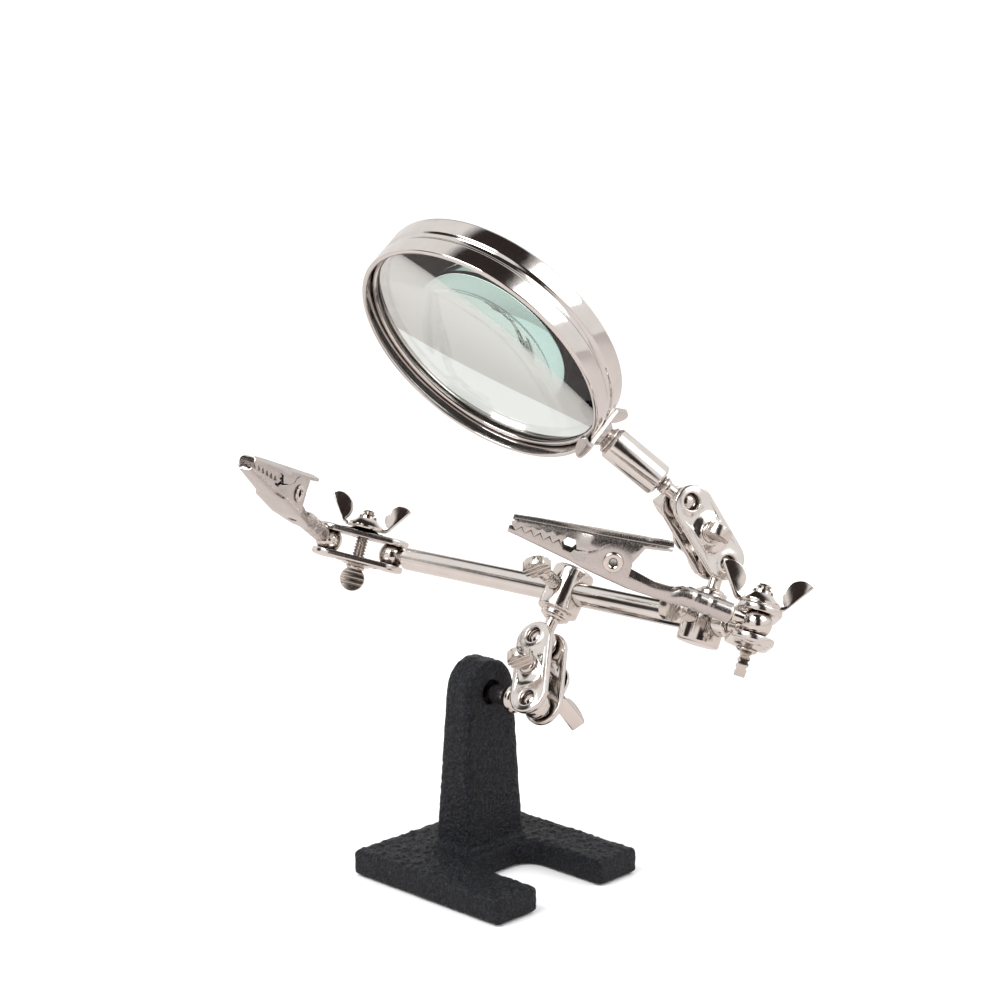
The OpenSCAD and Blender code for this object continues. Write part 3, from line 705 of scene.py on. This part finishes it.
def plate_mesh():
    """Pressed plate over z = 0 with a soft edge, a seat round each ball and a middle hump."""
    edge = 0.38
    holes = [(0.0, HOLE_R), (PITCH / 2, SCREW_R + 0.1), (PITCH, HOLE_R)]
    insets = (0, 0.05, 0.13, 0.24, edge, 0.75)
    reach = (PLATE_L - PLATE_W) / 2

    def inside(x, y):
        """Distance of a point from the nearest edge or hole."""
        dx = max(abs(x - PITCH / 2) - reach, 0)
        depths = [PLATE_W / 2 - math.hypot(dx, y)]
        return min(depths + [math.hypot(x - cx, y) - r for cx, r in holes])

    def raised(x, y):
        far = math.hypot((x - PITCH / 2) * 0.92, y)
        t = min(max((4.15 - far) / 2.0, 0), 1)
        lift = HUMP * t * t * (3 - 2 * t)
        for cx, r in (holes[0], holes[2]):
            t = min(max((3.4 - math.hypot(x - cx, y)) / 1.7, 0), 1)
            lift = max(lift, 0.28 * t * t * (3 - 2 * t))
        return lift

    points, edges = [], []
    loops = [stadium(d) for d in insets]
    for cx, r in holes:
        loops += [arc(cx, 0, r + d, 0, 360, 40)[:-1] for d in insets]
    for loop in loops:
        start = len(points)
        points += [Vector(p) for p in loop]
        edges += [(start + k, start + (k + 1) % len(loop)) for k in range(len(loop))]
    step = 0.6
    for i in range(int(PLATE_L / step) + 1):
        for k in range(int(PLATE_W / step) + 1):
            x = PITCH / 2 - PLATE_L / 2 + i * step
            y = -PLATE_W / 2 + k * step
            if inside(x, y) > insets[-1] + 0.25:
                points.append(Vector((x, y)))
    spots, _, faces, *_ = geometry.delaunay_2d_cdt(points, edges, [], 0, 1e-5)
    kept = []
    for face in faces:
        cx = sum(spots[i].x for i in face) / 3
        cy = sum(spots[i].y for i in face) / 3
        if inside(cx, cy) > 0:
            kept.append(tuple(face))
    verts = []
    for top in (False, True):
        for spot in spots:
            depth = min(max(inside(spot.x, spot.y), 0), edge)
            drop = edge - math.sqrt(max(edge * edge - (edge - depth) ** 2, 0))
            lift = raised(spot.x, spot.y)
            z = PLATE_T + lift - drop if top else lift * 0.85 + drop * 0.6
            verts.append((spot.x, spot.y, z))
    count = len(spots)
    sides = {}
    for a, b, c in kept:
        for one, two in ((a, b), (b, c), (c, a)):
            sides[(one, two)] = True
    faces = [(a + count, b + count, c + count) for a, b, c in kept]
    faces += [(c, b, a) for a, b, c in kept]
    faces += [(one, two, two + count, one + count) for one, two in sides
              if (two, one) not in sides]
    return closed_up(new_mesh(verts, faces))


# ---- spring clips, in the clip's frame ----
TOOTH_COUNT = 5
TOOTH_X0, TOOTH_X1, TOOTH_H = CLIP_L - 1.2, CLIP_L - 10.6, 1.1


def bite(x):
    return 0.95 + (TOOTH_X0 - x) * 0.06


def teeth(lift):
    """The zigzag edge, from the tips back to the wire hole."""
    step = (TOOTH_X0 - TOOTH_X1) / TOOTH_COUNT / 2
    return [(TOOTH_X0 - i * step, bite(TOOTH_X0 - i * step) + lift
             + (-TOOTH_H if i % 2 == 0 else TOOTH_H) / 2) for i in range(2 * TOOTH_COUNT + 1)]


def follow(points, x):
    """Height of a polyline, drawn from high x to low x, at x."""
    for (x0, z0), (x1, z1) in zip(points, points[1:]):
        if x1 <= x <= x0:
            return z0 if x0 == x1 else z1 + (z0 - z1) * (x - x1) / (x0 - x1)
    return points[0][1] if x > points[0][0] else points[-1][1]


def section(half, face_z, edge_z, bend=0.9):
    """A channel's cross-section from one free edge to the other, as (y, z) points."""
    steps = 4
    sign = 1 if face_z > edge_z else -1
    bend = min(bend, half * 0.6, abs(face_z - edge_z) * 0.8)
    corner = [(half - bend + bend * math.cos(math.radians(90 * k / steps)),
               face_z - sign * (bend - bend * math.sin(math.radians(90 * k / steps))))
              for k in range(steps + 1)]
    wall = [(half, edge_z + (corner[0][1] - edge_z) * k / steps) for k in range(steps)]
    right = wall + corner
    flat = [((half - bend) * (1 - k / 2), face_z) for k in (1, 2, 3)]
    return right + flat + [(-y, z) for y, z in reversed(right)]


def rolled(radius, count):
    """A circle's section with a seam on top, with as many points as a channel's."""
    gap = 14
    return [(radius * math.sin(math.radians(gap / 2 + (360 - gap) * k / (count - 1))),
             radius * math.cos(math.radians(gap / 2 + (360 - gap) * k / (count - 1))))
            for k in range(count)]


def sheet_metal(rows, cuts, outward):
    """Gives a sheet its thickness on its inner side, then cuts holes and softens edges."""
    mesh = grid_mesh(rows)
    middle = mesh.polygons[len(mesh.polygons) // 2]
    if middle.normal.dot(Vector(outward)) < 0:
        mesh.flip_normals()
    mesh = shaped(mesh, ("SOLIDIFY", {"thickness": SHEET, "offset": -1,
                                      "use_even_offset": True, "thickness_clamp": 1}))
    return carved(mesh, cuts=cuts, bevel=0.1)


def jaw_cuts():
    """The holes across both jaws: a six-sided one for wire, and the rivet's."""
    wire = moved(rod_mesh(1.6, -6, 6, 6), at(CLIP_L - 11.8, 0, 1.75) @ turn(90))
    pin = moved(rod_mesh(1.3, -6, 6, 32), at(JAW_PIVOT[0], 0, JAW_PIVOT[1]) @ turn(90))
    return [wire, pin]


def spread(points, *more):
    """The x of every corner in the outlines, with stations between far ones."""
    xs = sorted({round(p[0], 3) for line in (points, *more) for p in line}, reverse=True)
    out = [xs[0]]
    for x in xs[1:]:
        gap = out[-1] - x
        if gap < 0.04:
            continue
        parts = max(1, math.ceil(gap / 1.2))
        out += [out[-1] - gap * (k + 1) / parts for k in range(parts)]
    return out


def lower_jaw_mesh():
    edge = [(CLIP_L + 0.2, bite(CLIP_L) - 0.6)] + teeth(0) + [(37.4, 1.2), (35.2, 2.2)]
    edge += arc(JAW_PIVOT[0], JAW_PIVOT[1], 3.7, 20, 168, 22)
    edge += [(26.45, 0.35), (21, -0.2), (18, 0.2)]
    floor = [(CLIP_L + 0.2, -0.5), (26, -2.15), (18, -2.1)]
    plan = [(CLIP_L + 0.2, 1.7), (38, 2.6), (35.4, 3.75), (26, 3.75), (18, 2.5)]
    rows = []
    for x in spread(edge, floor, plan):
        rows.append([(x, y, z) for y, z in section(follow(plan, x), follow(floor, x),
                                                   follow(edge, x))])
    count = len(rows[0])
    last = rows[-1]
    barrel = 2.05
    for x in (17.2, 16.3, 15.4, 14.6):
        t = (18 - x) / 3.4
        t = t * t * (3 - 2 * t)
        ring = rolled(barrel, count)
        rows.append([(x, a[1] + (b[0] - a[1]) * t, a[2] + (b[1] - a[2]) * t)
                     for a, b in zip(last, ring)])
    for k in range(1, 24):
        x = 14.6 - 9.2 * k / 23
        pinch = 0.14 * (1 if 9.2 < x < 10.2 or 12.2 < x < 13.2 else 0)
        rows.append([(x, y, z) for y, z in rolled(barrel - pinch, count)])
    vent = moved(rod_mesh(1.0, -4, 1, 24), at(21.5, 0, 0) @ turn(-90, "Y"))
    return sheet_metal(rows, jaw_cuts() + [vent], (0, 0, -1))


def upper_jaw_mesh():
    edge = [(CLIP_L, bite(CLIP_L) + 0.55)] + teeth(0.12)
    edge += [(37.4, 1.6), (35.8, 2.0), (33.4, 0.3), (28.4, 0.6), (26.6, 3.4), (25.4, 6.5),
             (20.4, 7.7)]
    face = [(CLIP_L, 2.4), (26.6, 7.2), (20.4, 8.45)]
    plan = [(CLIP_L, 1.7), (38, 2.5), (35.2, 3.05), (25, 3.05), (20.4, 2.6)]
    rows = [[(x, y, z) for y, z in section(follow(plan, x), follow(face, x),
                                           follow(edge, x), 0.8)]
            for x in spread(edge, face, plan)]
    return sheet_metal(rows, jaw_cuts(), (0, 0, 1))


def clip_rivet_mesh():
    """Hollow eyelet with a rolled flange on each side."""
    flange = 3.78
    half = [(0, 1.25), (flange - 0.05, 1.25), (flange, 1.9), (flange + 0.25, 1.98),
            (flange + 0.5, 1.75), (flange + 0.5, 1.1), (flange + 0.2, 0.75), (0, 0.75)]
    loop = half + [(-x, r) for x, r in reversed(half[1:-1])] + [half[0]]
    tube_mesh = lathe(softened(loop, 0.12, 2), 40)
    return moved(tube_mesh, at(JAW_PIVOT[0], 0, JAW_PIVOT[1]) @ turn(90))


def clip_spring_mesh():
    """Torsion spring: close coils round the rivet, with a leg along each jaw."""
    wire, coil, turns = 0.3, 1.67, 4
    path = []
    for k in range(turns * 20 + 1):
        done = k / 20
        path.append((-coil * math.sin(TAU * done), (done - turns / 2) * wire * 2.02,
                     coil * math.cos(TAU * done)))
    start, end = path[0], path[-1]
    path = [(start[0] - 5.0, start[1], start[2] + 2.9)] + path[1:]
    path += [(end[0] + 5.5, end[1], end[2] - 0.6)]
    return moved(tube(path, wire), at(JAW_PIVOT[0], 0, JAW_PIVOT[1]))


# ---- magnifier, with the lens axis along Z in the lens frame ----
RIM_SEGMENTS = 192


def sleeve_mesh():
    end = HANDLE_REACH + SLEEVE_L
    return turned([(HANDLE_REACH - 0.02, 1.9), (HANDLE_REACH - 0.02, 2.7),
                   (HANDLE_REACH + 0.5, SLEEVE_R), (end - 0.6, SLEEVE_R), (end, SLEEVE_R - 0.6),
                   (end, 0)], 0.18)


def handle_rivet_mesh():
    """Domed washer between the sleeve and the cradle, with the rivet's head inside."""
    low, web = -SLEEVE_TO_LENS, -SLEEVE_TO_LENS + 0.9
    return turned([(low - 3, 0), (low - 3, 1.2), (low + 0.02, 1.2), (low + 0.02, 2.9),
                   (low + 0.45, 3.0), (web - 0.02, 2.2), (web + 1.0, 1.9), (web + 1.5, 1.2),
                   (web + 1.6, 0)], 0.3)


def cradle_mesh():
    """Sheet saddle on the band: one ear hooks over the front rim, one flares off the back."""
    inner = BAND_R + 0.06
    rim = BAND_W / 2
    web = 3.2
    rows = []
    for i in range(61):
        t = -1 + 2 * i / 60
        along = t * 9.4
        if along < -rim:
            over = -rim - along
            z = -rim - over * 0.72
            r = inner + over * 0.62
            swing = -0.55 * over
        elif along > rim + 0.35:
            over = along - rim - 0.35
            bend = min(over / 1.3, 1.0)
            z = rim + 0.35 + 0.45 * math.sin(bend * math.pi / 2)
            r = inner + 0.25 - max(over - 0.5, 0) * 0.62
            swing = 0.75 * over
        else:
            z, r, swing = along, inner, 0.0
        end = max(abs(t) - 0.72, 0) / 0.28
        half = web * math.sqrt(max(1 - end ** 2.6, 0.02))
        row = []
        for k in range(13):
            a = math.pi + (swing + half * (k / 6 - 1)) / BAND_R
            row.append((r * math.cos(a), r * math.sin(a), z))
        rows.append(row)
    mesh = grid_mesh(rows)
    middle = mesh.polygons[len(mesh.polygons) // 2]
    if middle.normal.x > 0:
        mesh.flip_normals()
    sheet = shaped(mesh, ("SOLIDIFY", {"thickness": 0.8, "offset": 1, "use_even_offset": True}))
    boss = moved(turned([(0, 0), (0, 3.2), (1.2, 2.6), (1.7, 2.3), (1.7, 0)], 0.5), turn(180))
    boss = moved(boss, at(-inner - 0.3, 0, 0))
    return joined(shaped(sheet, ("BEVEL", {"width": 0.2, "segments": 2,
                                           "angle_limit": math.radians(40)})), boss)


def ring(points, radius):
    """Revolves a closed (z, r) outline about Z."""
    loop = softened(points, radius, closed=True)
    return moved(lathe(loop + [loop[0]], RIM_SEGMENTS), turn(-90, "Y"))


def band_mesh():
    """Rolled strip round the lens with a lip at each rim and a pressed crease."""
    half, r = BAND_W / 2, BAND_R
    outline = [(-half, r - 1.25), (-half, r - 0.35), (0.25 - half, r), (-1.0, r),
               (-0.45, r - 0.42), (0.45, r - 0.42), (1.0, r), (half - 0.25, r),
               (half, r - 0.35), (half, r - 0.95), (half - 0.4, r - 1.05),
               (half - 0.7, r - BAND_T), (1.0, r - BAND_T), (0.4, r - BAND_T - 0.25),
               (-0.4, r - BAND_T - 0.25), (-1.0, r - BAND_T), (0.8 - half, r - BAND_T),
               (0.45 - half, r - 1.3)]
    return ring(outline, 0.22)


def retainer_mesh():
    rings = []
    for side in (-1, 1):
        z = side * (LENS_EDGE / 2 + 0.72)
        wire = arc(z, LENS_R - 0.52, 0.52, 360, 30, 11)
        rings.append(ring(wire, 0.05))
    return joined(*rings)


def lens_mesh():
    """Biconvex lens with a ground rim."""
    sphere = (LENS_R ** 2 + LENS_BULGE ** 2) / (2 * LENS_BULGE)
    span = math.degrees(math.asin(LENS_R / sphere))
    front = [(LENS_EDGE / 2 + LENS_BULGE - sphere + sphere * math.cos(math.radians(a)),
              sphere * math.sin(math.radians(a)))
             for a in [span * k / 28 for k in range(29)]]
    front[0] = (LENS_EDGE / 2 + LENS_BULGE, 0)
    back = [(-x, r) for x, r in front]
    return moved(lathe(back + front[::-1], RIM_SEGMENTS), turn(-90, "Y"))


# ---- build the pieces; what repeats is meshed once, and piece() copies it ----
PLATE, THUMB_SCREW, WING_NUT = plate_mesh(), thumb_screw_mesh(), wing_nut_mesh()
CLAMP_BLOCK, CLAMP_SCREW, CLAMP_STUD = clamp_block_mesh(), clamp_screw_mesh(), clamp_stud_mesh()
CLIP_STUD, LOWER_JAW, UPPER_JAW = clip_stud_mesh(), lower_jaw_mesh(), upper_jaw_mesh()
CLIP_RIVET, CLIP_SPRING = clip_rivet_mesh(), clip_spring_mesh()
ROD_BALL = rod_ball_mesh()


def build_joint(name, where, near, far, head_turn, wing_turn):
    """Two plates, a thumb screw and a wing nut on one double-ball joint. near is the
    plate on the wing nut's side."""
    middle = where @ shift(PITCH / 2)
    piece(near, PLATE, where @ shift(z=PLATE_IN), PLATE_METAL, 50)
    piece(far, PLATE, where @ turn(180, "X") @ shift(z=PLATE_IN), PLATE_METAL, 50)
    piece(name + "_thumb_screw", THUMB_SCREW, middle @ turn(head_turn) @ turn(-90, "Y"),
          THREAD_METAL)
    piece(name + "_wing_nut", WING_NUT,
          middle @ shift(z=PLATE_OUT + HUMP + 0.02) @ turn(wing_turn), NICKEL)


def build_clip(side):
    where = clip_frame(side)
    for part, mesh, look, slot in (("stud", CLIP_STUD, NICKEL, "nickel"),
                                   ("lower_jaw", LOWER_JAW, SHEET_METAL, "nickel"),
                                   ("upper_jaw", UPPER_JAW, SHEET_METAL, "nickel"),
                                   ("rivet", CLIP_RIVET, NICKEL, "nickel"),
                                   ("spring", CLIP_SPRING, SPRING_METAL, "spring_wire")):
        piece(f"{side}_clip_{part}", mesh, where, look)


piece("cast_base", base_mesh(), Matrix.Identity(4), ENAMEL, 180)
piece("post_ball_stud", post_stud_mesh(), Matrix.Translation(POST_BALL) @ turn(90), NICKEL)
build_joint("lower", LOWER, "lower_plate_back", "lower_plate_front", 80, -25)
build_joint("left", LEFT, "left_plate_top", "left_plate_bottom", 0, 0)
build_joint("right", RIGHT, "right_plate_top", "right_plate_bottom", 0, 90)
build_joint("magnifier", MAGNIFIER, "magnifier_plate_back", "magnifier_plate_front", -27, 0)

for clamp, stud, paddle_turn in (("centre", "centre_ball_stud", 60),
                                 ("magnifier", "magnifier_clamp_stud", 0)):
    block = CLAMPS[clamp]
    piece(clamp + "_clamp_block", CLAMP_BLOCK, block, NICKEL)
    piece(clamp + "_clamp_screw", CLAMP_SCREW,
          block @ turn(paddle_turn) @ turn(-90, "Y"), THREAD_METAL)
    piece(stud, CLAMP_STUD, block @ shift(CLAMP_REACH) @ turn(180), NICKEL)

rod_frame = local_frame(LEFT_BALL, ROD_DIR, Vector((0, 0, 1)))
rod_span = (RIGHT_BALL - LEFT_BALL).length / MM
piece("cross_rod",
      turned([(4.7, 0), (4.7, ROD_R - 0.55), (5.3, ROD_R), (rod_span - 5.3, ROD_R),
              (rod_span - 4.7, ROD_R - 0.55), (rod_span - 4.7, 0)], 0.15), rod_frame, ROD_METAL)
piece("left_rod_ball", ROD_BALL, rod_frame, NICKEL)
piece("right_rod_ball", ROD_BALL, rod_frame @ shift(rod_span) @ turn(180), NICKEL)
build_clip("left")
build_clip("right")

piece("magnifier_ball_stud", handle_stud_mesh(), HANDLE, NICKEL)
piece("magnifier_sleeve", sleeve_mesh(), HANDLE, ROD_METAL)
piece("magnifier_rivet", handle_rivet_mesh(), LENS, NICKEL)
piece("magnifier_cradle", cradle_mesh(), LENS, SHEET_METAL, 40)
piece("magnifier_band", band_mesh(), LENS, BAND_METAL, 50)
piece("magnifier_retainer", retainer_mesh(), LENS, BAND_METAL, 60)
piece("magnifier_lens", lens_mesh(), LENS, GLASS, 30)


# ---- stage, light and camera ----
FLOOR_HALF, FLOOR_DROP = 12.0, 0.0002
TENT_STRENGTH = 1.12
TARGET = Vector((0.0007, -0.0007, 0.0814))
CAMERA_AZIMUTH, CAMERA_ELEVATION, CAMERA_DISTANCE = -46.0, 12.0, 0.4835
CAMERA_LENS, SENSOR = 84.4, 36


def floor():
    """A matt white floor, just under the foot, with painted shade: reflections see it warm grey."""
    size = FLOOR_HALF
    mesh = new_mesh([(-size, -size, 0), (size, -size, 0), (size, size, 0), (-size, size, 0)],
                    [(0, 1, 2, 3)])
    obj = bpy.data.objects.new("floor", mesh)
    bpy.context.scene.collection.objects.link(obj)
    made, nodes, links, shader = material("floor")
    grain = noise_node(nodes, links, 12, 2)
    path = nodes.new("ShaderNodeLightPath")
    shade = nodes.new("ShaderNodeMix")
    shade.data_type = "RGBA"
    shade.inputs["A"].default_value = (0.93, 0.93, 0.935, 1)
    shade.inputs["B"].default_value = (0.56, 0.51, 0.49, 1)
    # painted shade: glossy rays see the floor warm grey, while the camera and diffuse light see it white
    links.new(path.outputs["Is Glossy Ray"], shade.inputs["Factor"])
    links.new(shade.outputs["Result"], shader.inputs["Base Color"])
    shader.inputs["Specular IOR Level"].default_value = 0
    links.new(ramp(nodes, links, grain.outputs["Fac"], 0.8, 0.9), shader.inputs["Roughness"])
    mesh.materials.append(made)
    obj.location.z = -FLOOR_DROP


def around(azimuth, elevation, distance, target):
    """A point at that direction and distance from target, with azimuth turning from -Y towards +X."""
    a, e = math.radians(azimuth), math.radians(elevation)
    return Vector(target) + distance * Vector((math.sin(a) * math.cos(e),
                                               -math.cos(a) * math.cos(e), math.sin(e)))


def tent(openings):
    """A white light tent. Only reflections see its dark openings, each given by azimuth,
    elevation, and the half angles where it is fully dark and where it has faded out."""
    world = bpy.data.worlds.new("tent")
    bpy.context.scene.world = world
    world.use_nodes = True
    nodes, links = world.node_tree.nodes, world.node_tree.links
    plain = nodes["Background"]
    plain.inputs["Color"].default_value = (1, 1, 1, 1)
    plain.inputs["Strength"].default_value = TENT_STRENGTH
    coords = nodes.new("ShaderNodeTexCoord")
    light = None
    for azimuth, elevation, dark, faded in openings:
        dot = nodes.new("ShaderNodeVectorMath")
        dot.operation = "DOT_PRODUCT"
        dot.inputs[1].default_value = around(azimuth, elevation, 1, (0, 0, 0))
        links.new(coords.outputs["Generated"], dot.inputs[0])
        edge = ramp(nodes, links, dot.outputs["Value"], 1, 0,
                    math.cos(math.radians(faded)), math.cos(math.radians(dark)))
        if light:
            product = nodes.new("ShaderNodeMath")
            product.operation = "MULTIPLY"
            links.new(light, product.inputs[0])
            links.new(edge, product.inputs[1])
            edge = product.outputs["Value"]
        light = edge
    shade = nodes.new("ShaderNodeMix")
    shade.data_type = "RGBA"
    shade.inputs["A"].default_value = (0.028, 0.020, 0.018, 1)
    shade.inputs["B"].default_value = (0.90, 0.87, 0.85, 1)
    links.new(light, shade.inputs["Factor"])
    seen = nodes.new("ShaderNodeBackground")
    links.new(shade.outputs["Result"], seen.inputs["Color"])
    path = nodes.new("ShaderNodeLightPath")
    choice = nodes.new("ShaderNodeMixShader")
    links.new(path.outputs["Is Glossy Ray"], choice.inputs["Fac"])
    links.new(plain.outputs["Background"], choice.inputs[1])
    links.new(seen.outputs["Background"], choice.inputs[2])
    links.new(choice.outputs["Shader"], nodes["World Output"].inputs["Surface"])


def aimed(name, data, azimuth, elevation, distance):
    """A light or camera at that direction and distance from TARGET, which it faces."""
    obj = bpy.data.objects.new(name, data)
    bpy.context.scene.collection.objects.link(obj)
    obj.location = around(azimuth, elevation, distance, TARGET)
    obj.rotation_euler = (TARGET - obj.location).to_track_quat("-Z", "Y").to_euler()
    return obj


def area_light(name, azimuth, elevation, distance, size, power):
    data = bpy.data.lights.new(name, "AREA")
    data.energy = power
    data.size = size
    aimed(name, data, azimuth, elevation, distance)


camera_data = bpy.data.cameras.new("camera")
camera_data.sensor_width = SENSOR
camera_data.lens = CAMERA_LENS
camera_data.clip_start, camera_data.clip_end = 0.01, 20
bpy.context.scene.camera = aimed("camera", camera_data, CAMERA_AZIMUTH, CAMERA_ELEVATION,
                                 CAMERA_DISTANCE)

floor()
tent([(-46, 80, 20, 30), (-44, 12, 15, 22), (-40, 34, 13, 20), (-44, 54, 12, 22),
      (128, 38, 16, 28), (-128, 22, 11, 20), (-98, -8, 5, 9), (6, -12, 5, 9)])
bpy.context.scene.view_settings.view_transform = "Standard"

area_light("key", -95, 48, 0.9, 0.5, 5.0)
area_light("fill", 15, 40, 1.0, 0.6, 2.5)
